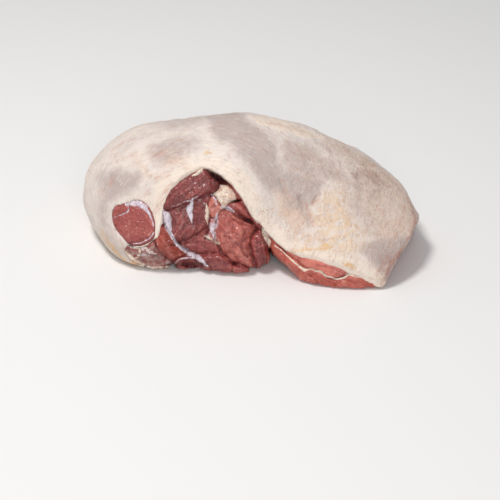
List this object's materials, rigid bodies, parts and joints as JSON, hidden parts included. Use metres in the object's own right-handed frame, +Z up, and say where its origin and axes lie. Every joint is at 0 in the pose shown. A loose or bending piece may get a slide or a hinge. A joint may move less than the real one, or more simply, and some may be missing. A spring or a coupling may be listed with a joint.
{
  "type": "raw leg of lamb",
  "caption": "Boned raw leg of lamb, folded over, under a fat cap that opens in front on red lean muscle, with a round cut muscle at the left.",
  "frame": {"origin": "middle of the bounding box's bottom face, on the board that the leg lies on", "axes": "+X along the leg towards the cut end of the flap, +Y away from the opening in the fat, +Z up"},
  "size_m": [0.2862, 0.1746, 0.0991],
  "materials": {
    "meat": "moist cream fat with grey and yellow patches over dark red lean meat"
  },
  "bodies": {
    "root": {"leg_of_lamb": "meat"}
  },
  "joints": []
}
